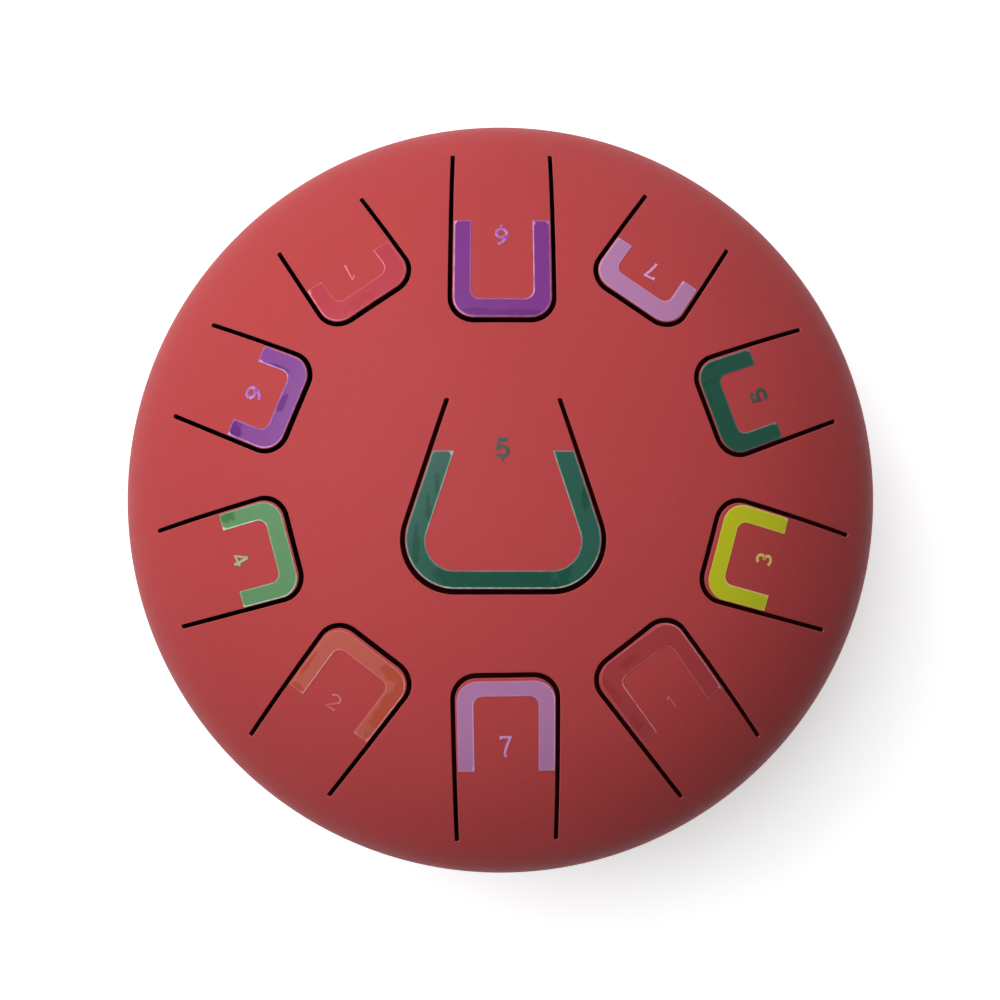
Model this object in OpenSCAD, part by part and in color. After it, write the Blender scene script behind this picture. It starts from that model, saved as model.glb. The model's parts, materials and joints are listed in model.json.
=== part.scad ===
// Steel tongue drum: two pressed half-shells welded at the seam, eleven tongues cut in the
// upper one, a note sticker on each tongue, a sound hole below and four push-in rubber feet.
// Millimetres. The floor is z = 0, +Z is up, and the player sits on the -Y side.

/* [Shell] */
// Diameter over the weld bead at the seam
drum_d = 254; // [246:1:310]
// Rise of each half-shell from the seam to its pole, outside
shell_h = 68; // [56:0.5:82]
// Sheet thickness
sheet_t = 1.5; // [1:0.1:2]
// Radius of the shallow crown round each pole
crown_r = 225; // [185:1:270]
// Angle from the pole at which the crown runs into the shoulder
crown_angle = 18; // [14:1:22]
// Angle from the pole at which the shoulder runs into the rim
shoulder_angle = 43; // [36:1:50]

/* [Seam weld] */
// Depth of the weld groove, from the outside
groove_depth = 0.9; // [0.5:0.1:1]
// How far the bead stands proud of the shells
bead_proud = 0.4; // [0.2:0.1:1]

/* [Sound hole] */
// Diameter of the hole in the middle of the lower shell
sound_hole_d = 50; // [35:1:75]

/* [Feet] */
// Radius of the ring that the four feet stand on
foot_ring_r = 60; // [48:1:75]
// Height of the lower shell's pole above the floor
floor_gap = 5; // [3:0.5:12]
// Radius of the foot where it seats on the shell
foot_seat_r = 11; // [9.5:0.5:14]
// Radius of the foot's domed end
foot_end_r = 9; // [7:0.5:10]
// How far the domed end is pressed flat by the floor
foot_press = 0.8; // [0.4:0.1:1.5]
// Radius of the neck that passes through the sheet
foot_neck_r = 3.9; // [3:0.1:5]
// Radius of the bulb that holds the foot from inside
foot_bulb_r = 5.6; // [5.1:0.1:7]
// Length of the bulb
foot_bulb_h = 7; // [4:0.5:10]
// Radius of the bulb's tip
foot_tip_r = 2.9; // [1.5:0.1:4.5]
// Length of the bulb's widest part
foot_land_h = 1; // [0.5:0.1:2]
// Clearance of the neck in its hole
foot_fit = 0.1; // [0.05:0.05:0.3]
// Clearance between the bulb and the sheet
bulb_gap = 0.4; // [0.3:0.1:0.8]

/* [Slots] */
// Width of the cut along the sides of a tongue
side_slot = 1.35; // [1:0.05:2]
// Width of the cut round the tip of a tongue
tip_slot = 1.6; // [1:0.05:2.4]
// Width over the outer edges of a rim tongue's cut
rim_span = 32.25; // [26:0.25:36]
// Outer corner radius of a rim tongue's cut
rim_corner_r = 7.9; // [5:0.1:11]
// Gap at the root, where the real sheet flexes instead
root_gap = 0.2; // [0.15:0.05:0.4]

/* [Centre tongue, low 5] */
// Distance of its tip cut from the drum's axis
low_5_tip = 30.8; // [26:0.1:34]
// Distance of its root from the drum's axis
low_5_root = 26; // [20:0.1:32]
// Width over the outer edges of its cut at the root
low_5_span = 33.8; // [28:0.1:40]
// Angle at which each side flares towards the tip
low_5_flare = 18.4; // [8:0.1:22]
// Outer corner radius of its cut
low_5_corner_r = 15.7; // [10:0.1:18]
// Sideways shift of the tongue
low_5_shift = -0.1; // [-2:0.1:2]
// Distance from the drum's axis at which the sticker's arms end, towards the root
low_5_sticker_end = 10.5; // [0:0.5:18]
// Inner corner radius of the sticker
low_5_sticker_r = 8.5; // [4:0.5:12]

/* [Rim tongue, low 6] */
// Direction in which the tongue's root lies, from +X
low_6_angle = 90; // [87:0.1:93]
// Distance of its tip cut from the drum's axis
low_6_tip = 48.7; // [46:0.1:60]
// Distance of its root from the drum's axis
low_6_root = 107.4; // [98:0.1:113]
// Sideways shift of the tongue
low_6_shift = 0.2; // [-2:0.1:2]

/* [Rim tongue, low 7] */
// Direction in which the tongue's root lies, from +X
low_7_angle = -89.2; // [-92:0.1:-86]
// Distance of its tip cut from the drum's axis
low_7_tip = 53.6; // [49:0.1:63]
// Distance of its root from the drum's axis
low_7_root = 108.8; // [98:0.1:113]
// Sideways shift of the tongue
low_7_shift = -0.1; // [-2:0.1:2]

/* [Rim tongue, 1] */
// Direction in which the tongue's root lies, from +X
note_1_angle = -52.2; // [-55:0.1:-49]
// Distance of its tip cut from the drum's axis
note_1_tip = 57.4; // [53:0.1:66]
// Distance of its root from the drum's axis
note_1_root = 110.5; // [98:0.1:113]
// Sideways shift of the tongue
note_1_shift = 1.4; // [-2:0.1:2]

/* [Rim tongue, 2] */
// Direction in which the tongue's root lies, from +X
note_2_angle = -127.3; // [-130:0.1:-124]
// Distance of its tip cut from the drum's axis
note_2_tip = 58.5; // [54:0.1:68]
// Distance of its root from the drum's axis
note_2_root = 108.1; // [98:0.1:113]
// Sideways shift of the tongue
note_2_shift = -1.1; // [-2:0.1:2]

/* [Rim tongue, 3] */
// Direction in which the tongue's root lies, from +X
note_3_angle = -15; // [-18:0.1:-12]
// Distance of its tip cut from the drum's axis
note_3_tip = 62.5; // [57:0.1:70]
// Distance of its root from the drum's axis
note_3_root = 109.3; // [98:0.1:113]
// Sideways shift of the tongue
note_3_shift = -0.2; // [-2:0.1:2]

/* [Rim tongue, 4] */
// Direction in which the tongue's root lies, from +X
note_4_angle = -165.2; // [-168:0.1:-162]
// Distance of its tip cut from the drum's axis
note_4_tip = 62.8; // [57:0.1:70]
// Distance of its root from the drum's axis
note_4_root = 107.6; // [98:0.1:113]
// Sideways shift of the tongue
note_4_shift = -0.3; // [-2:0.1:2]

/* [Rim tongue, 5] */
// Direction in which the tongue's root lies, from +X
note_5_angle = 20.3; // [17:0.1:23]
// Distance of its tip cut from the drum's axis
note_5_tip = 64.2; // [59:0.1:71]
// Distance of its root from the drum's axis
note_5_root = 106.5; // [98:0.1:113]
// Sideways shift of the tongue
note_5_shift = 0.2; // [-2:0.1:2]

/* [Rim tongue, 6] */
// Direction in which the tongue's root lies, from +X
note_6_angle = 157.7; // [154:0.1:160]
// Distance of its tip cut from the drum's axis
note_6_tip = 64.3; // [59:0.1:71]
// Distance of its root from the drum's axis
note_6_root = 104.1; // [98:0.1:113]
// Sideways shift of the tongue
note_6_shift = 1.4; // [-2:0.1:2]

/* [Rim tongue, 7] */
// Direction in which the tongue's root lies, from +X
note_7_angle = 55.9; // [53:0.1:59]
// Distance of its tip cut from the drum's axis
note_7_tip = 66; // [61:0.1:71]
// Distance of its root from the drum's axis
note_7_root = 103.1; // [98:0.1:113]
// Sideways shift of the tongue
note_7_shift = -0.5; // [-2:0.1:2]

/* [Rim tongue, high 1] */
// Direction in which the tongue's root lies, from +X
high_1_angle = 123.9; // [121:0.1:127]
// Distance of its tip cut from the drum's axis
high_1_tip = 66.1; // [61:0.1:71]
// Distance of its root from the drum's axis
high_1_root = 101; // [98:0.1:113]
// Sideways shift of the tongue
high_1_shift = 0.9; // [-2:0.1:2]

/* [Stickers] */
// Thickness of the vinyl
sticker_t = 0.15; // [0.1:0.01:0.3]
// Clearance under the vinyl
sticker_gap = 0.02; // [0.01:0.01:0.05]
// Width of the sticker's band
sticker_band = 5.2; // [3:0.1:7]
// Distance of the sticker from the tongue's edge
sticker_inset = 0.3; // [0.1:0.1:1]
// Distance from the drum's axis at which a rim sticker's arms end
rim_sticker_end = 84; // [76:0.5:92]
// Inner corner radius of a rim sticker
rim_sticker_r = 2.8; // [1:0.1:5]

/* [Hidden] */
$fa = 1.5;
$fs = 0.4;

seam_z = floor_gap + shell_h;
shell_r = drum_d / 2 - bead_proud;

// The outside profile is three arcs, each tangent to the next: a crown round the pole, a
// shoulder and a rim that is upright at the seam. The last two radii follow from the first,
// because together the arcs must reach shell_r across and shell_h up. Each arc's disc is
// drawn arc_over larger than the one before it, and its sector starts arc_lap degrees early,
// so that neighbours overlap and cross clearly.
arc_over = 0.005;
arc_lap = 2.5;
crown_across = sin(crown_angle);
crown_up = cos(crown_angle);
shoulder_across = sin(shoulder_angle);
shoulder_up = cos(shoulder_angle);
left_across = shell_r - 2 * arc_over - crown_r * crown_across;
left_up = shell_h - crown_r * (1 - crown_up);
solve_by = (shoulder_across - crown_across) * shoulder_up
    - (1 - shoulder_across) * (crown_up - shoulder_up);
shoulder_r = (left_across * shoulder_up - (1 - shoulder_across) * left_up) / solve_by;
rim_r = ((shoulder_across - crown_across) * left_up
    - (crown_up - shoulder_up) * left_across) / solve_by;

// Centres of the arcs: distance from the axis, height above the seam
crown_c = [0, shell_h - crown_r];
shoulder_c = crown_c + (crown_r - shoulder_r) * [crown_across, crown_up];
rim_c = shoulder_c + (shoulder_r - rim_r) * [shoulder_across, shoulder_up];
shoulder_starts = crown_r * crown_across;
rim_starts = shoulder_c[0] + shoulder_r * shoulder_across;

// By how much the disc that rounds a tongue's corner is too large
disc_over = 0.01;

// Height of the outside above the seam, and its tilt, at distance x from the axis
function on_arc(c, r, x) = c[1] + sqrt(r * r - (x - c[0]) * (x - c[0]));
function rise(x) = x < shoulder_starts ? on_arc(crown_c, crown_r, x)
    : x < rim_starts ? on_arc(shoulder_c, shoulder_r, x) : on_arc(rim_c, rim_r, x);
function tilt(x) = x < shoulder_starts ? asin(x / crown_r)
    : x < rim_starts ? asin((x - shoulder_c[0]) / shoulder_r) : asin((x - rim_c[0]) / rim_r);

// A foot stands square to the shell. Its domed end is centred foot_l below the seat, which
// brings it down to the floor.
foot_tilt = tilt(foot_ring_r);
foot_l = (seam_z - rise(foot_ring_r) - foot_end_r + foot_press) / cos(foot_tilt);

// Colours
red = [0.76, 0.28, 0.30];
weld_red = [0.66, 0.24, 0.26];
black = [0.10, 0.10, 0.11];
crimson = [0.80, 0.26, 0.33];
orange = [0.80, 0.42, 0.26];
yellow = [0.66, 0.70, 0.13];
green = [0.42, 0.71, 0.43];
bottle = [0.16, 0.39, 0.31];
purple = [0.54, 0.25, 0.60];
lilac = [0.71, 0.47, 0.70];

// Each tongue: name, angle, tip, root, shift, width over the cut at the root, flare,
// corner radius, sticker end, sticker's inner corner radius, sticker colour
function rim_tongue(name, angle, tip, root, shift, colour) =
    [name, angle, tip, root, shift, rim_span, 0, rim_corner_r, rim_sticker_end,
        rim_sticker_r, colour];

TONGUES = [
    ["low_5", 90, -low_5_tip, low_5_root, low_5_shift, low_5_span, low_5_flare,
        low_5_corner_r, low_5_sticker_end, low_5_sticker_r, bottle],
    rim_tongue("low_6", low_6_angle, low_6_tip, low_6_root, low_6_shift, purple),
    rim_tongue("low_7", low_7_angle, low_7_tip, low_7_root, low_7_shift, lilac),
    rim_tongue("1", note_1_angle, note_1_tip, note_1_root, note_1_shift, crimson),
    rim_tongue("2", note_2_angle, note_2_tip, note_2_root, note_2_shift, orange),
    rim_tongue("3", note_3_angle, note_3_tip, note_3_root, note_3_shift, yellow),
    rim_tongue("4", note_4_angle, note_4_tip, note_4_root, note_4_shift, green),
    rim_tongue("5", note_5_angle, note_5_tip, note_5_root, note_5_shift, bottle),
    rim_tongue("6", note_6_angle, note_6_tip, note_6_root, note_6_shift, purple),
    rim_tongue("7", note_7_angle, note_7_tip, note_7_root, note_7_shift, lilac),
    rim_tongue("high_1", high_1_angle, high_1_tip, high_1_root, high_1_shift, crimson),
];
function name(t) = t[0];
function angle(t) = t[1];
function tip(t) = t[2];
function root(t) = t[3];
function shift(t) = t[4];
function span(t) = t[5];
function flare(t) = t[6];
function corner_r(t) = t[7];
function sticker_end(t) = t[8];
function sticker_r(t) = t[9];
function colour(t) = t[10];

// Half the width of a tongue's cut at distance x, drawn in by inset on each side
function half_width(t, x, inset) =
    span(t) / 2 + (root(t) - x) * tan(flare(t)) - inset / cos(flare(t));

// Each foot: name and direction from the axis
FEET = [
    ["front_left", -135],
    ["front_right", -45],
    ["rear_right", 45],
    ["rear_left", 135],
];

// The sector of a disc between the angles from and to
module sector(c, r, from, to) {
    reach = 2 * crown_r;
    translate(c) intersection() {
        circle(r);
        polygon([[0, 0], reach * [sin(from), cos(from)], reach * [sin(to), cos(to)]]);
    }
}

// Everything between the seam's plane and the outside profile, which is moved outwards by out.
// A core lies well inside it and covers the points that the sectors start from.
module under_profile(out) {
    core_x = rim_c[0] + rim_r / 2;
    core_z = shell_h / 10;
    intersection() {
        union() {
            polygon([[0, -shell_h], [0, shell_h - core_z], [core_x, core_z], [core_x, -shell_h]]);
            sector(crown_c, crown_r + out, 0, crown_angle);
            sector(shoulder_c, shoulder_r + arc_over + out, crown_angle - arc_lap,
                shoulder_angle);
            sector(rim_c, rim_r + 2 * arc_over + out, shoulder_angle - arc_lap, 90 + arc_lap);
        }
        square(2 * crown_r);
    }
}

// The profile between two offsets from the outside of the shell
module profile(low, high) {
    difference() {
        under_profile(high);
        under_profile(low);
    }
}

// Half of the weld groove's section, opening outwards at 45 degrees from the seam
module groove() {
    reach = 3 * groove_depth;
    translate([shell_r - groove_depth, 0])
        polygon([[0, 0], [reach, reach], [reach, 0]]);
}

module half_shell() {
    rotate_extrude() difference() {
        profile(-sheet_t, 0);
        groove();
    }
}

// A tongue's outline: square at the root, with a rounded corner on each side of the tip.
// Each corner's disc is too large by disc_over, so that it crosses both straight edges.
module outline(tip, root, half, flare, r) {
    corner = [tip + r, half + (root - tip - r) * tan(flare) - r / cos(flare)];
    left = [[root, half], corner + r * [sin(flare), cos(flare)], [tip, corner[1]]];
    right = [for (i = [2:-1:0]) [left[i][0], -left[i][1]]];
    polygon(concat(left, right));
    for (side = [-1, 1]) translate([corner[0], side * corner[1]]) circle(r + disc_over);
}

module cut_outline(t) {
    outline(tip(t), root(t), span(t) / 2, flare(t), corner_r(t));
}

module tongue_outline(t) {
    end = root(t) - root_gap;
    outline(tip(t) + tip_slot, end, half_width(t, end, side_slot), flare(t),
        corner_r(t) - side_slot);
}

module sticker_outline(t) {
    edge = side_slot + sticker_inset;
    ends = sticker_end(t);
    outline(tip(t) + tip_slot + sticker_inset, ends, half_width(t, ends, edge), flare(t),
        corner_r(t) - edge);
}

// What the sticker leaves bare between its arms
module bare_outline(t) {
    edge = side_slot + sticker_inset + sticker_band;
    ends = sticker_end(t) + 1;
    outline(tip(t) + tip_slot + sticker_inset + sticker_band, ends,
        half_width(t, ends, edge), flare(t), sticker_r(t));
}

// Puts an outline at its tongue's place and raises it through the upper shell
module raised(t) {
    rotate(angle(t)) translate([0, shift(t), seam_z]) linear_extrude(shell_h + 1) children();
}

module top_shell() {
    color(red) difference() {
        translate([0, 0, seam_z]) half_shell();
        for (t = TONGUES) raised(t) cut_outline(t);
    }
}

module bottom_shell() {
    color(red) difference() {
        translate([0, 0, seam_z]) mirror([0, 0, 1]) half_shell();
        cylinder(d = sound_hole_d, h = seam_z);
        for (f = FEET) at_foot(f)
            translate([0, 0, -foot_l]) cylinder(r = foot_neck_r + foot_fit, h = 2 * foot_l);
    }
}

module seam_weld() {
    bead_r = groove_depth + bead_proud;
    color(weld_red) translate([0, 0, seam_z]) rotate_extrude()
        translate([shell_r - groove_depth, 0]) intersection() {
            circle(bead_r);
            polygon([[0, 0], [2 * bead_r, 2 * bead_r], [2 * bead_r, -2 * bead_r]]);
        }
}

// A layer of the upper shell between two offsets from its outside. The centre tongue lies
// within the crown, and takes it from two balls whose poles are turned away from it.
module layer(t, low, high) {
    translate([0, 0, seam_z]) if (tip(t) < 0) {
        translate([0, 0, crown_c[1]]) rotate([90, 0, 0]) difference() {
            sphere(crown_r + high);
            sphere(crown_r + low);
        }
    } else {
        rotate_extrude() profile(low, high);
    }
}

module tongue(t) {
    color(red) intersection() {
        layer(t, -sheet_t, 0);
        raised(t) tongue_outline(t);
    }
}

module sticker(t) {
    color(colour(t)) difference() {
        intersection() {
            layer(t, sticker_gap, sticker_gap + sticker_t);
            raised(t) sticker_outline(t);
        }
        raised(t) bare_outline(t);
    }
}

// Turns +Z to point out of the lower shell where a foot is, with the origin on its outside
module at_foot(f) {
    rotate(f[1]) translate([foot_ring_r, 0, seam_z - rise(foot_ring_r)])
        rotate([0, 180 - foot_tilt, 0]) children();
}

// Section of a foot, from the tip of its bulb to its domed end
module foot_section() {
    bulb_top = -sheet_t - bulb_gap;
    translate([0, foot_l]) intersection() {
        circle(foot_end_r);
        square(2 * foot_end_r);
    }
    polygon([
        [0, bulb_top - foot_bulb_h],
        [foot_tip_r, bulb_top - foot_bulb_h],
        [foot_bulb_r, bulb_top - foot_land_h],
        [foot_bulb_r, bulb_top],
        [foot_neck_r, bulb_top],
        [foot_neck_r, 0],
        [foot_seat_r, 0],
        [foot_end_r, foot_l],
        [0, foot_l],
    ]);
}

module foot(f) {
    color(black) intersection() {
        at_foot(f) rotate_extrude() foot_section();
        cylinder(r = shell_r, h = seam_z);
    }
}

top_shell();
bottom_shell();
seam_weld();
for (t = TONGUES) tongue(t);
for (t = TONGUES) sticker(t);
for (f = FEET) foot(f);
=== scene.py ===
"""Looks of the steel tongue drum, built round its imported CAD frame.

Lengths are in millimetres and angles in degrees, up to the point where a mesh is made. Most of
the drum is thin sheet that follows one curved shell, so nearly every piece is drawn in plan and
lifted on to that shell by `plate`. In a tongue's own plan u runs outwards from the drum's axis
and v runs square to it, to the right when the tongue's tip is at the top.
"""
import json
import math

import bpy
import numpy as np
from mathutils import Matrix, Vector
from mathutils.geometry import delaunay_2d_cdt


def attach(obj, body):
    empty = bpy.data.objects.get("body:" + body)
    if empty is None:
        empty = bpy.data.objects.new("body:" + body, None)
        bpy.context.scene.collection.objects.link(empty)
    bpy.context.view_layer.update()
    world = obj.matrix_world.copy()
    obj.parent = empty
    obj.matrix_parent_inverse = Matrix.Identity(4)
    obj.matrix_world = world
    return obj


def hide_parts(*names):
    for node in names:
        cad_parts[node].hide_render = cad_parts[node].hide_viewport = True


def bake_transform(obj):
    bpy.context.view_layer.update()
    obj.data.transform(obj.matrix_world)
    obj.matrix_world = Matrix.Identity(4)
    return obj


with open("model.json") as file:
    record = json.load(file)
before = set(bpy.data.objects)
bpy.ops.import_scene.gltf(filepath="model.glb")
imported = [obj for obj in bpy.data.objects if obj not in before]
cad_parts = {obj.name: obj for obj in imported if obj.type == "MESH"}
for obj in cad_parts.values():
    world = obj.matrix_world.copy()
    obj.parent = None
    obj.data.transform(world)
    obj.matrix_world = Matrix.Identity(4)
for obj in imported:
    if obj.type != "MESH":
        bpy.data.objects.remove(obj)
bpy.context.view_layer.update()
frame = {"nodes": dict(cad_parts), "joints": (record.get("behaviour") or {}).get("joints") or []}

MM = 0.001

# Driving dimensions of the shells, as the CAD has them
DRUM_R = 127.0
BEAD_PROUD = 0.4
GROOVE = 0.9
SHELL_H = 68.0
SHEET = 1.5
CROWN_R = 225.0
CROWN_ANGLE = 18.0
SHOULDER_ANGLE = 43.0
FLOOR_GAP = 5.0
SOUND_HOLE_R = 25.0
SEAM_Z = FLOOR_GAP + SHELL_H
SHELL_R = DRUM_R - BEAD_PROUD

# Slots round the tongues. The shell and a tongue part ROOT_BACK short of the slots' ends, and the
# CAD parts them by ROOT_GAP there.
SIDE_SLOT = 1.35
TIP_SLOT = 1.6
SLOT_END_R = 0.45
ROOT_BACK = 0.6
ROOT_GAP = 0.2
RIM_CORNER = 7.9
CENTRE_CORNER = 15.7
CENTRE_FLARE = 18.4

# How far the edges of sheet, vinyl and numbers are rounded
SHEET_EDGE = 0.22
VINYL_EDGE = 0.05
INK_EDGE = 0.03

# Spacing of mesh points
GRID = 2.3
LOOP_STEP = 0.9
RIM_STEPS = 360
RIM_ROWS = 26
BEND_STEP = 0.26

# How near a point in plan has to be to count as on the rim or on a root
NEAR_RIM = 0.2
NEAR_ROOT = 0.01


# ---------------------------------------------------------------- the shell's surface

def solve_arcs():
    """Centre across, centre above the seam, radius and first angle of the profile's three arcs"""
    s1, c1 = math.sin(math.radians(CROWN_ANGLE)), math.cos(math.radians(CROWN_ANGLE))
    s2, c2 = math.sin(math.radians(SHOULDER_ANGLE)), math.cos(math.radians(SHOULDER_ANGLE))
    across = SHELL_R - CROWN_R * s1
    up = SHELL_H - CROWN_R * (1 - c1)
    by = (s2 - s1) * c2 - (1 - s2) * (c1 - c2)
    shoulder_r = (across * c2 - (1 - s2) * up) / by
    rim_r = ((s2 - s1) * up - (c1 - c2) * across) / by
    crown = (0.0, SHELL_H - CROWN_R)
    shoulder = (crown[0] + (CROWN_R - shoulder_r) * s1, crown[1] + (CROWN_R - shoulder_r) * c1)
    rim = (shoulder[0] + (shoulder_r - rim_r) * s2, shoulder[1] + (shoulder_r - rim_r) * c2)
    return [(*crown, CROWN_R, 0.0), (*shoulder, shoulder_r, CROWN_ANGLE),
            (*rim, rim_r, SHOULDER_ANGLE)]


ARCS = solve_arcs()
RIM_X, RIM_Z, RIM_R, _ = ARCS[2]
RIM_JOIN = RIM_X + RIM_R * math.sin(math.radians(SHOULDER_ANGLE))


def profile(r, out=0.0):
    """Height above the seam and normal (across, up) of the surface that lies `out` outside"""
    r = np.asarray(r, float)
    height, across, up = np.zeros_like(r), np.zeros_like(r), np.zeros_like(r)
    for x, z, radius, starts in ARCS:
        R = radius + out
        use = r >= x + R * math.sin(math.radians(starts)) - 1e-9
        height[use] = z + np.sqrt(np.maximum(R * R - (r[use] - x) ** 2, 0))
        across[use] = (r[use] - x) / R
        up[use] = (height[use] - z) / R
    return height, across, up


def lift(xy, out, side=1):
    """Points and normals on the upper (side 1) or lower (side -1) shell over points in plan"""
    xy = np.asarray(xy, float)
    r = np.hypot(xy[:, 0], xy[:, 1])
    height, across, up = profile(r, out)
    unit = xy / np.maximum(r, 1e-9)[:, None]
    points = np.column_stack([xy, SEAM_Z + side * height])
    normals = np.column_stack([unit * across[:, None], side * up])
    return points, normals


def rim_section():
    """Rows (radius, height above the seam, normal across, normal up) from the join with the
    shoulder down the outside, round the lip at the weld groove and back up the inside"""
    rows = []
    lip = math.degrees(math.acos((GROOVE - RIM_Z) / RIM_R))
    for a in np.linspace(SHOULDER_ANGLE, lip, RIM_ROWS)[1:]:
        s, c = math.sin(math.radians(a)), math.cos(math.radians(a))
        rows.append((RIM_X + RIM_R * s, RIM_Z + RIM_R * c, s, c))
    rows.append((SHELL_R - GROOVE, 0.02, 0.7, -0.7))
    inner = RIM_R - SHEET
    top = math.degrees(math.asin((RIM_JOIN - RIM_X) / inner))
    for a in np.linspace(90, top, RIM_ROWS)[:-1]:
        s, c = math.sin(math.radians(a)), math.cos(math.radians(a))
        rows.append((RIM_X + inner * s, max(RIM_Z + inner * c, 0.02), -s, -c))
    return rows


# ---------------------------------------------------------------- drawing in plan

def round_corners(corners, radii, step=LOOP_STEP):
    """A closed outline through straight corners, each rounded by its own radius"""
    corners = [np.array(c, float) for c in corners]
    out = []
    for i, corner in enumerate(corners):
        before = corners[i - 1] - corner
        after = corners[(i + 1) % len(corners)] - corner
        before, after = before / np.linalg.norm(before), after / np.linalg.norm(after)
        half = math.acos(np.clip(before @ after, -1, 1)) / 2
        r = radii[i]
        if r < 1e-6:
            out.append([corner])
            continue
        centre = corner + (before + after) / np.linalg.norm(before + after) * r / math.sin(half)
        a = corner + before * r / math.tan(half) - centre
        b = corner + after * r / math.tan(half) - centre
        turn = math.atan2(a[0] * b[1] - a[1] * b[0], a @ b)
        n = max(3, math.ceil(abs(turn) * r / step), math.ceil(abs(turn) / BEND_STEP))
        angles = np.linspace(0, turn, n + 1)
        out.append([centre + [a[0] * math.cos(t) - a[1] * math.sin(t),
                              a[0] * math.sin(t) + a[1] * math.cos(t)] for t in angles])
    path = []
    for i, arc in enumerate(out):
        path.extend(arc)
        path.extend(between(arc[-1], out[(i + 1) % len(out)][0], step))
    return np.array(path)


def between(a, b, step=LOOP_STEP):
    """Points inside the straight line from a to b"""
    n = max(1, round(float(np.linalg.norm(np.subtract(b, a))) / step))
    return [np.add(a, np.subtract(b, a) * k / n) for k in range(1, n)]


def circle(r, n, centre=(0, 0)):
    turn = 2 * math.pi * np.arange(n) / n
    return np.column_stack([centre[0] + r * np.cos(turn), centre[1] + r * np.sin(turn)])


def inside(points, polygon):
    """Which of the points lie inside a closed polygon"""
    x, y = points[:, 0], points[:, 1]
    hit = np.zeros(len(points), bool)
    for (x1, y1), (x2, y2) in zip(polygon, np.roll(polygon, -1, axis=0)):
        if y1 != y2:
            hit ^= ((y1 > y) != (y2 > y)) & (x < (x2 - x1) * (y - y1) / (y2 - y1) + x1)
    return hit


def hex_grid(low, high, step):
    """Evenly spread points over a rectangle"""
    rows = np.arange(low[1], high[1], step * math.sqrt(3) / 2)
    return np.array([(x + (k % 2) * step / 2, y) for k, y in enumerate(rows)
                     for x in np.arange(low[0], high[0], step)])


def away_from(points, others, gap):
    """The points that are further than gap from all others"""
    keep = np.ones(len(points), bool)
    for start in range(0, len(others), 400):
        part = others[start:start + 400]
        near = ((points[:, None, :] - part[None, :, :]) ** 2).sum(2).min(1)
        keep &= near > gap * gap
    return points[keep]


class Plan:
    """A triangulated drawing: points, closed loops and lines"""

    def __init__(self):
        self.points = []
        self.edges = []

    def add(self, points, closed=True, line=True):
        first = len(self.points)
        self.points.extend((float(x), float(y)) for x, y in points)
        count = len(points)
        if line:
            last = count if closed else count - 1
            self.edges.extend((first + k, first + (k + 1) % count) for k in range(last))

    def fill(self, low, high, step, gap, allowed=None):
        grid = away_from(hex_grid(low, high, step), np.array(self.points), gap)
        if allowed is not None:
            grid = grid[allowed(grid)]
        self.add(grid, line=False)

    def triangulate(self):
        """Plan points and counter-clockwise triangles"""
        points, _, faces, *_ = delaunay_2d_cdt(
            [Vector(p) for p in self.points], self.edges, [], 0, 1e-4)
        xy = np.array([p[:] for p in points])
        triangles = np.array([tuple(f) for f in faces])
        a, b, c = (xy[triangles[:, k]] for k in range(3))
        area = (b[:, 0] - a[:, 0]) * (c[:, 1] - a[:, 1]) - (b[:, 1] - a[:, 1]) * (c[:, 0] - a[:, 0])
        triangles[area < 0] = triangles[area < 0][:, ::-1]
        return xy, triangles[np.abs(area) > 1e-9]


# ---------------------------------------------------------------- solids on the shell

def border_loops(xy, triangles):
    """The borders of a set of triangles, each with the triangles on its left"""
    directed = {(t[k], t[(k + 1) % 3]) for t in triangles.tolist() for k in range(3)}
    follow = {}
    for a, b in sorted(directed):
        if (b, a) not in directed:
            follow.setdefault(a, []).append(b)

    def clockwise(at, came, goes):
        """Angle at a point from the way back to the way on"""
        back, on = xy[came] - xy[at], xy[goes] - xy[at]
        return math.atan2(on[0] * back[1] - on[1] * back[0], back @ on) % (2 * math.pi)

    loops = []
    while follow:
        start = next(iter(follow))
        loop = [start]
        while True:
            at = loop[-1]
            ways = follow[at]
            way = ways[0] if len(loop) < 2 else min(
                ways, key=lambda goes: clockwise(at, loop[-2], goes))
            ways.remove(way)
            if not ways:
                del follow[at]
            if way == start:
                break
            loop.append(way)
        loops.append(loop)
    return loops


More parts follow.
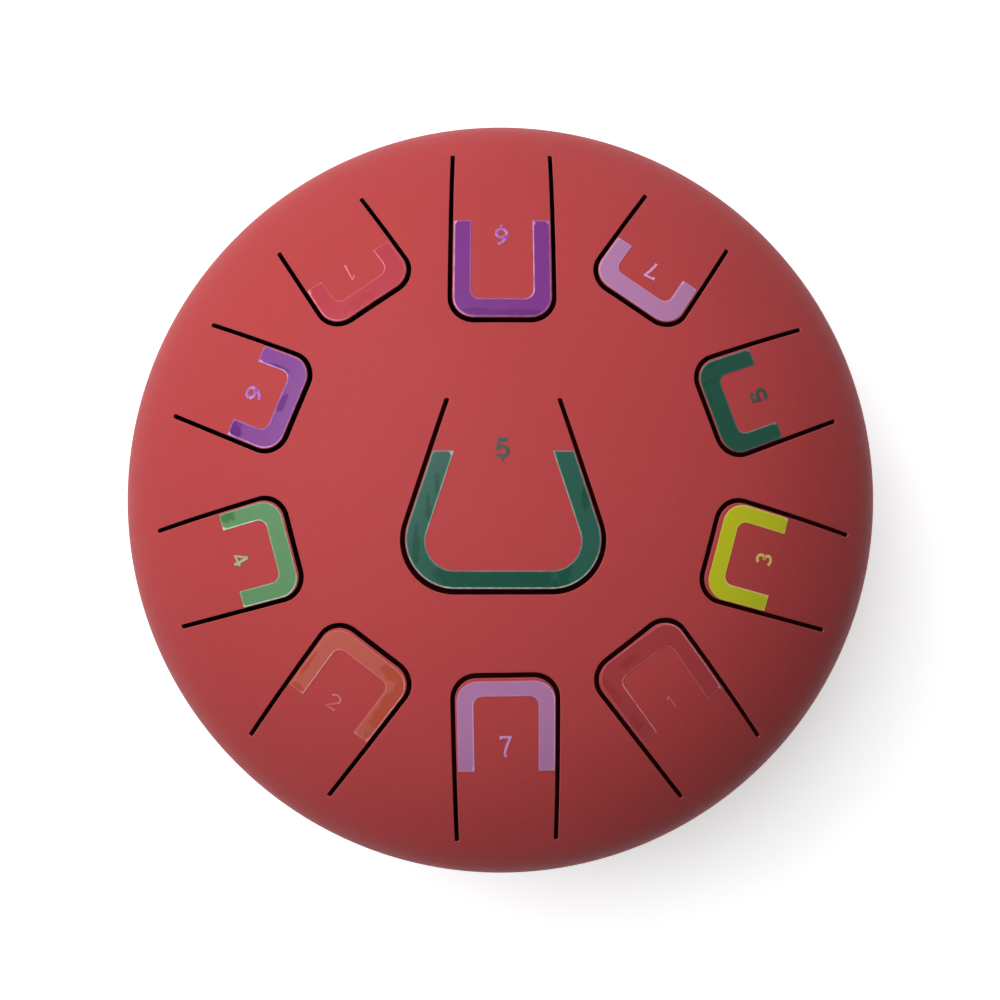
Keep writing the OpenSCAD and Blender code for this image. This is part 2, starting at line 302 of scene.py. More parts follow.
def plate(name, xy, triangles, low, high, edge_r, side=1, kind=None, rim=None):
    """A closed solid over some triangles of a plan, between two offsets from the shell.

    kind(middles) names each stretch of border: "cut" is a rounded edge, "root" is a tongue's flat
    section, and "rim" is carried on by the rows in rim.
    Its vertices have the attributes edge (1 on a rounded edge) and inner (1 on the inside).
    """
    used, triangles = np.unique(triangles, return_inverse=True)
    triangles = triangles.reshape(-1, 3)
    xy = xy[used]
    count = len(xy)
    top, top_normals = lift(xy, high, side)
    bottom, bottom_normals = lift(xy, low, side)
    points = [*top, *bottom]
    normals = [*top_normals, *-bottom_normals]
    edge = [0.0] * (2 * count)
    inner = [0.0] * count + [1.0] * count
    faces = [tuple(t) for t in triangles.tolist()]
    faces += [tuple(count + i for i in reversed(t)) for t in triangles.tolist()]
    turns = [math.radians(a) for a in (30, 60, 90)]

    def column(vertex, outwards, what):
        """Vertices from the outer skin round the border to the inner skin"""
        made = [vertex]
        if what == "rim":
            unit = xy[vertex] / np.linalg.norm(xy[vertex])
            for r, z, across, up in rim:
                points.append(np.array([*(unit * r), SEAM_Z + side * z]))
                normals.append(np.array([*(unit * across), side * up]))
                edge.append(0.0)
                inner.append(1.0 if across < 0 else 0.0)
                made.append(len(points) - 1)
        else:
            for start, sign, skin in ((high, -1, 0.0), (low, 1, 1.0)):
                for a in turns if sign < 0 else reversed(turns):
                    at = xy[vertex] + outwards * edge_r * math.sin(a)
                    p, n = lift(at[None, :], start + sign * edge_r * (1 - math.cos(a)), side)
                    flat = outwards / np.linalg.norm(outwards)
                    turned = -sign * n[0] * math.cos(a) + np.array([*flat, 0]) * math.sin(a)
                    points.append(p[0])
                    normals.append(turned / np.linalg.norm(turned))
                    edge.append(math.sin(a) if skin == 0 else 0.0)
                    inner.append(skin)
                    made.append(len(points) - 1)
        made.append(count + vertex)
        return made

    for loop in border_loops(xy, triangles):
        here = xy[loop]
        ahead = np.roll(here, -1, axis=0)
        what = kind((here + ahead) / 2) if kind else np.array(["cut"] * len(loop))
        along = ahead - here
        along /= np.linalg.norm(along, axis=1)[:, None]
        out = np.column_stack([along[:, 1], -along[:, 0]])
        columns = []
        for i, vertex in enumerate(loop):
            sides = [j for j in (i - 1, i) if what[j] != "root"]
            if not sides:
                columns.append([vertex, count + vertex])
                continue
            mean = sum(out[j] for j in sides) / len(sides)
            mean /= max(mean @ mean, 0.5)
            columns.append(column(vertex, mean, what[sides[0]]))
        n = len(loop)
        for i in range(n):
            if what[i] != "root":
                a, b = columns[i], columns[(i + 1) % n]
                faces += [(a[k + 1], b[k + 1], b[k], a[k]) for k in range(len(a) - 1)]
        starts = [i for i in range(n) if what[i] == "root" and what[i - 1] != "root"]
        for i in starts:
            chain = [i]
            while what[chain[-1] % n] == "root":
                chain.append(chain[-1] + 1)
            chain = [columns[c % n] for c in chain]
            section = [c[-1] for c in chain]
            section += chain[-1][-2:0:-1]
            section += [c[0] for c in reversed(chain)]
            section += chain[0][1:-1]
            faces.append(tuple(section))
    if side < 0:
        faces = [tuple(reversed(f)) for f in faces]
    return solid(name, points, faces, normals, {"edge": edge, "inner": inner})


def solid(name, points, faces, normals=None, attributes=None):
    """A mesh object from points in millimetres, with smooth shading"""
    mesh = bpy.data.meshes.new(name)
    mesh.from_pydata([tuple(MM * float(c) for c in p) for p in points], [], faces)
    mesh.shade_smooth()
    for key, values in (attributes or {}).items():
        paint(mesh, key, values)
    mesh.validate()
    if normals is not None:
        mesh.normals_split_custom_set_from_vertices([tuple(map(float, n)) for n in normals])
    piece = bpy.data.objects.new(name, mesh)
    bpy.context.scene.collection.objects.link(piece)
    return piece


def paint(mesh, name, values):
    """Gives every vertex a number under that name"""
    mesh.attributes.new(name, "FLOAT", "POINT").data.foreach_set("value", values)


def vertex_plan(mesh):
    """Where the vertices lie in plan"""
    xyz = np.zeros(3 * len(mesh.vertices))
    mesh.vertices.foreach_get("co", xyz)
    return xyz.reshape(-1, 3)[:, :2] / MM


def lathe(name, section, steps, place=None, ripple=None, closed=True):
    """A solid turned from rows (radius, height); an open section ends on the axis"""
    points, faces = [], []
    rows = []
    for radius, height in section:
        if radius < 1e-6:
            rows.append([len(points)] * steps)
            points.append(np.array([0.0, 0.0, height]))
            continue
        rows.append(list(range(len(points), len(points) + steps)))
        for k in range(steps):
            t = 2 * math.pi * k / steps
            r = radius + (ripple(t, height) if ripple else 0)
            points.append(np.array([r * math.cos(t), r * math.sin(t), height]))
    pairs = list(zip(rows, rows[1:] + rows[:1])) if closed else list(zip(rows, rows[1:]))
    for upper, lower in pairs:
        for k in range(steps):
            j = (k + 1) % steps
            face = dict.fromkeys((upper[k], lower[k], lower[j], upper[j]))
            if len(face) > 2:
                faces.append(tuple(face))
    if place:
        points = [place(p) for p in points]
    return solid(name, points, faces)


# ---------------------------------------------------------------- the tongues

class Tongue:
    """A tongue's place and cut, measured on its CAD node in the tongue's own plan"""

    def __init__(self, joint):
        self.body = joint["child"]
        self.name = self.body.removeprefix("tongue_")
        axis = joint["axis"]
        self.angle = math.atan2(-axis[0], axis[1])
        u, v = self.local(vertex_plan(frame["nodes"][self.body].data), 0).T
        self.shift = (v.max() + v.min()) / 2
        self.tip = u.min() - TIP_SLOT
        self.root = u.max() + ROOT_GAP
        at_root = u > u.max() - 0.05
        self.half = (v[at_root].max() - v[at_root].min()) / 2
        slope = (v.max() - self.shift - self.half) > 1
        self.flare = math.radians(CENTRE_FLARE if slope else 0)
        self.corner = CENTRE_CORNER if slope else RIM_CORNER
        self.half += SIDE_SLOT / math.cos(self.flare)
        self.hinge = Vector(joint["pos_m"])

    def local(self, xy, shift=None):
        shift = self.shift if shift is None else shift
        c, s = math.cos(self.angle), math.sin(self.angle)
        x, y = np.asarray(xy, float).T
        return np.column_stack([x * c + y * s, y * c - x * s - shift])

    def plan(self, uv):
        c, s = math.cos(self.angle), math.sin(self.angle)
        u, v = np.asarray(uv, float).T
        v = v + self.shift
        return np.column_stack([u * c - v * s, u * s + v * c])

    def side(self, u, inset):
        """Half the width over the cut at u, drawn in by inset"""
        return self.half + (self.root - u) * math.tan(self.flare) - inset / math.cos(self.flare)

    def corners(self, tip, end, inset):
        """Four corners: end and tip at +v, tip and end at -v"""
        return [(end, self.side(end, inset)), (tip, self.side(tip, inset)),
                (tip, -self.side(tip, inset)), (end, -self.side(end, inset))]

    def slot(self, wider):
        """The U-shaped slot's outline, drawn wider by that much all round"""
        outer = self.corners(self.tip - wider, self.root + wider, -wider)
        inner = self.corners(self.tip + TIP_SLOT + wider, self.root + wider, SIDE_SLOT + wider)
        end = SLOT_END_R + wider
        bow, nose = self.corner + wider, self.corner - SIDE_SLOT - wider
        return self.plan(round_corners(outer + inner[::-1],
                                       [end, bow, bow, end, end, nose, nose, end]))

    def outline(self, inset):
        """The tongue's own outline up to its root"""
        corners = self.corners(self.tip + TIP_SLOT + inset, self.root - ROOT_BACK,
                               SIDE_SLOT + inset)
        nose = self.corner - SIDE_SLOT - inset
        return self.plan(round_corners(corners, [0, nose, nose, 0]))

    def root_line(self, inset):
        u = self.root - ROOT_BACK
        half = self.side(u, SIDE_SLOT + inset)
        ends = [np.array([u, half]), np.array([u, -half])]
        return self.plan([ends[0], *between(*ends, step=1.4), ends[1]])


TONGUES = [Tongue(j) for j in frame["joints"]]


# ---------------------------------------------------------------- materials

def srgb(*values):
    """A colour written as it shows on screen, 0 to 255, as linear values"""
    return tuple((v / 255 / 12.92) if v / 255 <= 0.04045 else ((v / 255 + 0.055) / 1.055) ** 2.4
                 for v in values) + (1.0,)


class Shader:
    """The nodes of a material or of the world: add() makes a node, sets its options and fills or
    links its inputs"""

    def __init__(self, owner):
        self.owner = owner
        owner.use_nodes = True
        self.tree = owner.node_tree
        self.tree.nodes.clear()

    def add(self, kind, inputs=None, **options):
        node = self.tree.nodes.new("ShaderNode" + kind)
        for key, value in options.items():
            setattr(node, key, value)
        for key, value in (inputs or {}).items():
            if isinstance(value, bpy.types.NodeSocket):
                self.tree.links.new(value, node.inputs[key])
            else:
                node.inputs[key].default_value = value
        return node

    def noise(self, scale, detail=3.0, roughness=0.5, distortion=0.0):
        """Noise with a grain of about 1 / scale metres"""
        place = self.add("TexCoord").outputs["Object"]
        node = self.add("TexNoise", {"Vector": place, "Scale": scale, "Detail": detail,
                                     "Roughness": roughness, "Distortion": distortion})
        return node.outputs["Fac"]

    def attribute(self, name):
        return self.add("Attribute", attribute_name=name).outputs["Fac"]

    def math(self, operation, a, b=0.0, clamp=False):
        return self.add("Math", {0: a, 1: b}, operation=operation, use_clamp=clamp).outputs[0]

    def range(self, value, low, high, to_low=0.0, to_high=1.0):
        return self.add("MapRange", {"Value": value, "From Min": low, "From Max": high,
                                     "To Min": to_low, "To Max": to_high}).outputs["Result"]

    def mix(self, factor, a, b):
        node = self.add("Mix", {"Factor": factor}, data_type="RGBA")
        for key, value in (("A", a), ("B", b)):
            socket = next(s for s in node.inputs if s.name == key and s.type == "RGBA")
            if isinstance(value, bpy.types.NodeSocket):
                self.tree.links.new(value, socket)
            else:
                socket.default_value = value
        return next(s for s in node.outputs if s.type == "RGBA")

    def bump(self, height, distance, strength=1.0, after=None):
        inputs = {"Height": height, "Distance": distance, "Strength": strength}
        if after is not None:
            inputs["Normal"] = after
        return self.add("Bump", inputs).outputs["Normal"]

    def seen(self):
        """1 for what the camera sees, straight or in a gloss or through glass, and 0 for light"""
        rays = self.add("LightPath").outputs
        others = self.math("ADD", rays["Is Glossy Ray"], rays["Is Transmission Ray"])
        return self.math("ADD", rays["Is Camera Ray"], others, clamp=True)

    def surface(self, node, kind="OutputMaterial"):
        self.add(kind, {"Surface": node.outputs[0]})
        return self.owner

    def finish(self, **inputs):
        """Ends the material in a Principled BSDF"""
        named = {key.replace("_", " "): value for key, value in inputs.items()}
        return self.surface(self.add("BsdfPrincipled", named))


def powder_coat(name, body, pale, dark, inside):
    """Satin powder coat with a fine orange peel, paler on cut edges (thinner coat there, and a
    painted highlight of the rounded edges catching light), and only overspray on the inside"""
    s = Shader(bpy.data.materials.new(name))
    broad = s.range(s.noise(14, 2), 0.3, 0.7)
    fine = s.range(s.noise(420, 2), 0.25, 0.75)
    colour = s.mix(s.math("MULTIPLY", broad, 0.45), body, pale)
    colour = s.mix(s.math("MULTIPLY", fine, 0.16), colour, dark)
    # Paler rounded cut edges: partly thin, worn coat and partly a painted highlight of the edge
    # catching light
    worn_and_highlight = s.math("MULTIPLY", s.attribute("edge"), s.range(s.noise(160, 3), 0.3, 0.7, 0.25, 0.8))
    colour = s.mix(worn_and_highlight, colour, RED_WORN_AND_HIGHLIGHT)
    colour = s.mix(s.attribute("inner"), colour, inside)
    peel = s.bump(s.noise(700, 2, 0.45), 0.000035, 0.5)
    grain = s.bump(s.noise(2600, 2), 0.000008, 0.5, after=peel)
    rough = s.range(s.noise(300, 3), 0.3, 0.7, 0.42, 0.52)
    return s.finish(Base_Color=colour, Roughness=rough, Normal=grain, Specular_IOR_Level=0.03)


def vinyl(name, dry, wet, line):
    """Satin film: hazy where air is left under it, deeper where it has wetted out, and pale
    along its cut edge"""
    s = Shader(bpy.data.materials.new(name))
    ragged = s.math("SUBTRACT", s.noise(330, 4, 0.6, 0.6), 0.5)
    field = s.math("ADD", s.attribute("wet"), s.math("MULTIPLY", ragged, 0.9))
    patch = s.range(field, 0.42, 0.58)
    mottle = s.range(s.noise(900, 2), 0.3, 0.7)
    dry_colour = s.mix(s.math("MULTIPLY", mottle, 0.12), dry, wet)
    colour = s.mix(patch, dry_colour, wet)
    cut = s.math("MULTIPLY", s.attribute("line"), 2.0, clamp=True)
    broken = s.range(s.noise(480, 3), 0.3, 0.62, 0.45, 1.0)
    colour = s.mix(s.math("MULTIPLY", cut, broken), colour, line)
    dimple = s.bump(s.noise(650, 2), 0.00002, 0.35)
    return s.finish(Base_Color=colour, Roughness=0.42, Normal=dimple, Specular_IOR_Level=0.14,
                    Coat_Weight=0.03, Coat_Roughness=0.15)


def rubber(name):
    """Matt moulded rubber with dust in its pores"""
    s = Shader(bpy.data.materials.new(name))
    dust = s.range(s.noise(240, 4, 0.6), 0.45, 0.8)
    colour = s.mix(s.math("MULTIPLY", dust, 0.35), srgb(34, 33, 35), srgb(82, 79, 80))
    pores = s.bump(s.noise(1500, 3), 0.00003, 0.5)
    rough = s.range(s.noise(500, 2), 0.3, 0.7, 0.62, 0.8)
    return s.finish(Base_Color=colour, Roughness=rough, Normal=pores, Specular_IOR_Level=0.35)


RED = srgb(184, 72, 72)
RED_PALE = srgb(192, 77, 78)
RED_DARK = srgb(168, 62, 62)
# The pale tone of the rounded cut edges: partly wear, partly a painted highlight
RED_WORN_AND_HIGHLIGHT = srgb(214, 112, 112)
RED_WELD = srgb(168, 62, 67)
INSIDE = srgb(150, 48, 48)
coat = powder_coat("coat", RED, RED_PALE, RED_DARK, INSIDE)
weld_coat = powder_coat("weld_coat", RED_WELD, RED_PALE, RED_DARK, INSIDE)
rubber_black = rubber("rubber_black")

# Note colours: hazy, wetted out, and the light line along the edge
INKS = {
    "crimson": (srgb(167, 61, 65), srgb(160, 55, 54), srgb(226, 140, 150)),
    "rose": (srgb(180, 60, 72), srgb(176, 54, 62), srgb(232, 138, 150)),
    "orange": (srgb(190, 95, 81), srgb(180, 78, 57), srgb(232, 156, 150)),
    "yellow": (srgb(195, 198, 36), srgb(186, 188, 31), srgb(232, 214, 140)),
    "green": (srgb(98, 144, 99), srgb(70, 120, 66), srgb(196, 222, 190)),
    "bottle": (srgb(27, 78, 62), srgb(23, 70, 55), srgb(140, 156, 146)),
    "arm_green": (srgb(39, 89, 75), srgb(18, 74, 57), srgb(176, 190, 184)),
    "purple": (srgb(132, 70, 143), srgb(98, 38, 118), srgb(214, 164, 218)),
    "deep_purple": (srgb(122, 51, 131), srgb(104, 38, 116), srgb(222, 160, 206)),
    "lilac": (srgb(182, 126, 170), srgb(176, 116, 164), srgb(226, 178, 216)),
}


def finish_with(piece, material):
    piece.data.materials.append(material)
    return piece


# ---------------------------------------------------------------- the upper shell and tongues

def rim_or_cut(points):
    """The kinds of border of both shells. The upper shell's edge at a root is a rounded cut as
    well, and lies up to SHEET_EDGE inside the tongue, under its skin."""
    return np.where(np.hypot(points[:, 0], points[:, 1]) > RIM_JOIN - NEAR_RIM, "rim", "cut")


def build_upper():
    plan = Plan()
    plan.add(circle(RIM_JOIN, RIM_STEPS))
    slots = [t.slot(SHEET_EDGE) for t in TONGUES]
    for tongue, slot in zip(TONGUES, slots):
        plan.add(slot)
        plan.add(tongue.root_line(SHEET_EDGE), closed=False)
    reach = RIM_JOIN - GRID / 2
    plan.fill((-reach, -reach), (reach, reach), GRID, GRID * 0.45,
              lambda p: np.hypot(p[:, 0], p[:, 1]) < reach)
    xy, triangles = plan.triangulate()
    middles = xy[triangles].mean(1)
    shell = np.ones(len(triangles), bool)
    for tongue, slot in zip(TONGUES, slots):
        shell &= ~inside(middles, slot)
        mine = inside(middles, tongue.outline(SHEET_EDGE))
        shell &= ~mine
        root = tongue.root - ROOT_BACK
        piece = plate(tongue.body + "_sheet", xy, triangles[mine], -SHEET, 0, SHEET_EDGE,
                      kind=lambda p, t=tongue, u=root: np.where(
                          np.abs(t.local(p)[:, 0] - u) < NEAR_ROOT, "root", "cut"))
        finish_with(piece, coat)
        bend(piece, tongue)
        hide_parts(tongue.body)

    piece = plate("upper_sheet", xy, triangles[shell], -SHEET, 0, SHEET_EDGE,
                  kind=rim_or_cut, rim=rim_section())
    finish_with(piece, coat)
    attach(piece, "shell")
    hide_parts("top_shell")


def bend(piece, tongue):
    """Bakes the piece's placement into its mesh"""
    start = Vector(tongue.hinge)
    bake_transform(piece)


# ---------------------------------------------------------------- lower shell, weld and feet

FOOT_RING = 60.0
FOOT_SEAT_R = 11.0
FOOT_END_R = 9.0
FOOT_PRESS = 0.8
NECK_R = 3.9
NECK_FIT = 0.1
BULB_R = 5.6
BULB_H = 7.0
BULB_TIP = 2.9
BULB_LAND = 1.0
BULB_GAP = 0.4
FEET = {"front_left": -135, "front_right": -45, "rear_right": 45, "rear_left": 135}


def foot_frame(direction):
    """Seat on the outside of the lower shell, and the direction out of it"""
    height, across, up = (float(v) for v in profile(FOOT_RING))
    c, s = math.cos(math.radians(direction)), math.sin(math.radians(direction))
    seat = np.array([FOOT_RING * c, FOOT_RING * s, SEAM_Z - height])
    return seat, np.array([across * c, across * s, -up])


def build_lower():
    plan = Plan()
    plan.add(circle(RIM_JOIN, RIM_STEPS))
    holes = [circle(SOUND_HOLE_R + SHEET_EDGE, 180)]
    for direction in FEET.values():
        _, axis = foot_frame(direction)
        r = NECK_R + NECK_FIT + SHEET_EDGE
        radial = circle(1, 40) * [r / abs(axis[2]), r]
        radial[:, 0] += FOOT_RING
        c, s = math.cos(math.radians(direction)), math.sin(math.radians(direction))
        holes.append(radial @ np.array([[c, s], [-s, c]]))
    for hole in holes:
        plan.add(hole)
    reach = RIM_JOIN - GRID / 2
    plan.fill((-reach, -reach), (reach, reach), GRID * 1.2, GRID * 0.5,
              lambda p: np.hypot(p[:, 0], p[:, 1]) < reach)
    xy, triangles = plan.triangulate()
    middles = xy[triangles].mean(1)
    keep = np.ones(len(triangles), bool)
    for hole in holes:
        keep &= ~inside(middles, hole)
    piece = plate("lower_sheet", xy, triangles[keep], -SHEET, 0, SHEET_EDGE, side=-1,
                  kind=rim_or_cut, rim=rim_section())
    finish_with(piece, coat)
    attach(piece, "shell")
    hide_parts("bottom_shell")


def build_weld():
    """A bead with the faint ripple of weld under paint"""
    bead = GROOVE + BEAD_PROUD
    middle = SHELL_R - GROOVE
    section = [(middle + bead * math.cos(math.radians(a)),
                SEAM_Z + bead * math.sin(math.radians(a))) for a in np.linspace(45, -45, 13)]
    section.append((middle + 0.02, SEAM_Z))

    def ripple(turn, height):
        wave = math.sin(310 * turn + 0.8 * math.sin(17 * turn)) + 0.6 * math.sin(43 * turn)
        proud = math.cos(min(abs(height - SEAM_Z) / bead, 1) * math.pi / 2)
        return -0.05 * (1.6 - wave) * proud * 0.5
    piece = lathe("weld_bead", section, 1440, ripple=ripple)
    finish_with(piece, weld_coat)
    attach(piece, "shell")
    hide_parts("seam_weld")


def foot_section(length):
    """From the bulb's tip inside the drum to the domed end outside, with small fillets"""
    top = -SHEET - BULB_GAP
    tip = top - BULB_H
    rows = [(0, tip), (BULB_TIP - 0.6, tip), (BULB_TIP - 0.15, tip + 0.15),
            (BULB_TIP + 0.15, tip + 0.7)]
    for k in range(1, 7):
        f = k / 6
        rows.append((BULB_TIP + (BULB_R - BULB_TIP) * f,
                     tip + (BULB_H - BULB_LAND) * f + 0.35 * math.sin(math.pi * f)))
    rows += [(BULB_R, top - 0.35), (BULB_R - 0.1, top - 0.1), (BULB_R - 0.35, top),
             (NECK_R + 0.1, top), (NECK_R, top + 0.1), (NECK_R, -0.1), (NECK_R + 0.1, 0.0)]
    rows += [(FOOT_SEAT_R * f, 0.0) for f in (0.5, 0.75)]
    rows += [(FOOT_SEAT_R - 0.35, 0.0), (FOOT_SEAT_R - 0.1, 0.1), (FOOT_SEAT_R, 0.35),
             (FOOT_SEAT_R - 0.05, 0.9)]
    for f in (0.3, 0.5, 0.7, 0.85):
        rows.append((FOOT_SEAT_R - (FOOT_SEAT_R - FOOT_END_R) * f - 0.12 * math.sin(math.pi * f),
                     length * f))
    for a in np.linspace(0, 90, 15):
        rows.append((FOOT_END_R * math.cos(math.radians(a)),
                     length + FOOT_END_R * math.sin(math.radians(a))))
    rows[-1] = (0, length + FOOT_END_R)
    return rows


def build_feet():
    for name, direction in FEET.items():
        seat, axis = foot_frame(direction)
        length = (seat[2] - FOOT_END_R + FOOT_PRESS) / abs(axis[2])
        right = np.cross(axis, [0, 0, 1.0])
        right /= np.linalg.norm(right)
        front = np.cross(axis, right)

        def place(p, seat=seat, axis=axis, right=right, front=front):
            at = seat + right * p[0] + front * p[1] + axis * p[2]
            return np.array([at[0], at[1], max(at[2], 0.0)])
        piece = lathe("foot_rubber_" + name, foot_section(length), 96, place=place, closed=False)
        finish_with(piece, rubber_black)
        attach(piece, "shell")
        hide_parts("foot_" + name)


# ---------------------------------------------------------------- stickers and numbers

# Each sticker: colour, slot, tip edge and inner edge of the cross-bar, sideways shift, width of
# its two arms, where the arms end, clockwise turn
STICKERS = {
    "low_6": ("deep_purple", "purple", 50.5, 56.1, 0.0, 5.1, (81.8, 81.8), 0),
    "7": ("lilac", "lilac", 67.8, 73.6, 0.2, 5.0, (83.5, 83.5), 0),
    "5": ("bottle", "bottle", 65.9, 71.9, -0.2, 5.1, (85.1, 85.1), 0),
    "3": ("yellow", "yellow", 65.4, 70.2, -0.1, 4.8, (85.7, 85.7), 0),
    "1": ("crimson", "crimson", 59.3, 65.5, 0.2, 5.3, (85.8, 87.4), 1.6),
    "low_7": ("lilac", "lilac", 56.1, 60.6, 0.15, 4.8, (84.0, 84.0), 0),
    "2": ("orange", "orange", 60.8, 66.0, 0.1, 4.9, (84.9, 84.6), 0),
    "4": ("green", "green", 65.0, 70.2, 0.15, 4.9, (84.3, 83.9), 0),
    "6": ("purple", "purple", 66.1, 71.6, 0.0, 5.0, (83.0, 83.0), 0),
    "high_1": ("rose", "crimson", 67.8, 73.6, 0.1, 5.3, (81.6, 83.3), -1.0),
    "low_5": ("arm_green", "bottle", -29.0, -23.9, 0.0, 5.7, (10.6, 10.6), 0),
}
STICKER_GAP = 0.02
STICKER_T = 0.15
STICKER_INSET = 0.3
STICKER_END_R = 0.25
RIM_STICKER_R = 2.8
CENTRE_STICKER_R = 8.5
STICKER_GRID = 1.1
STICKER_GRID_GAP = 0.5

# Where a film has wetted out: u, v, half-length along u, half-width along v
WET = {
    "2": [(69, 13.0, 13, 2.3), (62.8, 8.5, 2.0, 4.0), (76, -13.6, 6, 0.6),
          (84, -12.5, 1.0, 2.6)],
    "4": [(82.6, -13.6, 3.2, 2.4)],
    "6": [(81.9, 13.4, 3.0, 3.6), (70.2, -0.5, 1.2, 3.2), (76, -9.7, 4.5, 0.9)],
    "5": [(69, 8.4, 2.6, 0.7), (71, 12.8, 2.2, 0.5), (67.3, 4, 0.7, 2.2)],
    "low_6": [(51.7, -3, 1.1, 9), (52.4, 7, 0.9, 4)],
    "low_5": [(-26.6, -1, 4.2, 16.5), (-25.0, 13, 3.4, 6.5), (-17.5, 25.2, 6, 1.1),
              (1.5, 19.1, 4.2, 0.75), (-6.0, 21.6, 4.2, 0.8), (-3.0, -23.6, 3.4, 1.1),
              (-23, -18, 2.2, 1.6)],
    "1": [(62.6, -3, 1.2, 3.6), (67, -12.6, 5, 1.4), (79, -12.6, 3.2, 1.8)],
    "high_1": [(70, 3, 1.6, 5)],
}

# How much of the pale backing shows at each film's cut edge, the least share of it on the edges
# that face away, and how wide it is on films and on numbers
LINES = {"low_6": 0.9, "7": 0.6, "5": 0.5, "3": 0.7, "1": 0.75, "low_7": 0.55, "2": 0.75,
         "4": 0.9, "6": 0.8, "high_1": 0.7, "low_5": 0.95}
LINE_LEAST = 0.28
STICKER_LINE = 0.42
NUMBER_LINE = 0.25


def sticker_outline(tongue):
    """The U of vinyl in the tongue's own plan: the outer border and what it leaves bare"""
    _, _, tip, bar, shift, band, ends, turn = STICKERS[tongue.name]
    edge = SIDE_SLOT + STICKER_INSET + VINYL_EDGE
    outer_r = tongue.corner - edge
    inner_r = RIM_STICKER_R if tongue.flare == 0 else CENTRE_STICKER_R
    sides = [(end, s * tongue.side(end, edge)) for end, s in ((ends[1], 1), (ends[0], -1))]
    outer = [sides[0], (tip, tongue.side(tip, edge)), (tip, -tongue.side(tip, edge)), sides[1]]
    past = max(ends) + 2
    inner = [(past, tongue.side(past, edge + band)), (bar, tongue.side(bar, edge + band)),
             (bar, -tongue.side(bar, edge + band)), (past, -tongue.side(past, edge + band))]
    outer = round_corners(outer, [STICKER_END_R, outer_r, outer_r, STICKER_END_R])
    inner = round_corners(inner, [0, inner_r, inner_r, 0])
    t = math.radians(-turn)
    pivot = np.array([(tip + max(ends)) / 2, 0])
    spin = np.array([[math.cos(t), math.sin(t)], [-math.sin(t), math.cos(t)]])
    return [(p - pivot) @ spin + pivot + [0, shift] for p in (outer, inner)]


def build_sticker(tongue):
    outer, inner = sticker_outline(tongue)
    nose = tongue.corner - SIDE_SLOT - SHEET_EDGE
    trim = round_corners(tongue.corners(tongue.tip + TIP_SLOT + SHEET_EDGE, tongue.root - 2,
                                        SIDE_SLOT + SHEET_EDGE + VINYL_EDGE), [0, nose, nose, 0])
    plan = Plan()
    for loop in (outer, inner, trim):
        plan.add(loop)
    low, high = outer.min(0) - 1, outer.max(0) + 1
    plan.fill(low, high, STICKER_GRID, STICKER_GRID_GAP)
    uv, triangles = plan.triangulate()
    middles = uv[triangles].mean(1)
    keep = inside(middles, outer) & ~inside(middles, inner) & inside(middles, trim)
    colour, slot = STICKERS[tongue.name][:2]
    piece = plate("vinyl_" + tongue.name, tongue.plan(uv), triangles[keep],
                  STICKER_GAP, STICKER_GAP + STICKER_T, VINYL_EDGE)
    paint_wet(piece, tongue)
    paint_line(piece, tongue, tongue.plan(uv), triangles[keep], STICKER_LINE, LINES[tongue.name])
    finish_with(piece, films[colour])
    bend(piece, tongue)
    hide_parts("sticker_" + tongue.name)


def paint_wet(piece, tongue):
    """The attribute wet: 1 in the middle of a wetted patch, 0.5 at its border, 0 far away"""
    u, v = tongue.local(vertex_plan(piece.data)).T
    wet = np.zeros(len(u))
    for at_u, at_v, half_u, half_v in WET.get(tongue.name, ()):
        away = np.hypot((u - at_u) / half_u, (v - at_v) / half_v)
        wet = np.maximum(wet, np.clip(1 - away / 2, 0, 1))
    paint(piece.data, "wet", wet)


def paint_line(piece, tongue, xy, triangles, width, strength):
    """The attribute line, above 0 along the cut edges, where the film's pale backing shows.

    It shows most on the edges that face one way, as on a sheet cut a little out of register:
    across the tongue, or towards the tip of the centre tongue.
    """
    starts, ends = [], []
    for loop in border_loops(xy, triangles):
        starts += loop
        ends += loop[1:] + loop[:1]
    starts, ends = xy[starts], xy[ends]
    length = np.linalg.norm(ends - starts, axis=1)
    along = (ends - starts) / length[:, None]
    c, s = math.cos(tongue.angle), math.sin(tongue.angle)
    way = (-s, c) if tongue.flare == 0 else (-c, -s)
    facing = along[:, 1] * way[0] - along[:, 0] * way[1]
    shown = strength * (LINE_LEAST + (1 - LINE_LEAST) * np.clip(facing, 0, 1))
    gap = vertex_plan(piece.data)[:, None, :] - starts
    reach = np.clip((gap * along).sum(2), 0, length)
    away = np.linalg.norm(gap - reach[:, :, None] * along, axis=2)
    nearest = away.argmin(1)
    line = shown[nearest] * (1 - away[np.arange(len(away)), nearest] / width)
    paint(piece.data, "line", line)


def arc(x, y, across, up, start, end, n=18):
    angles = np.radians(np.linspace(start, end, n))
    return [(x + across * math.cos(a), y + up * math.sin(a)) for a in angles]


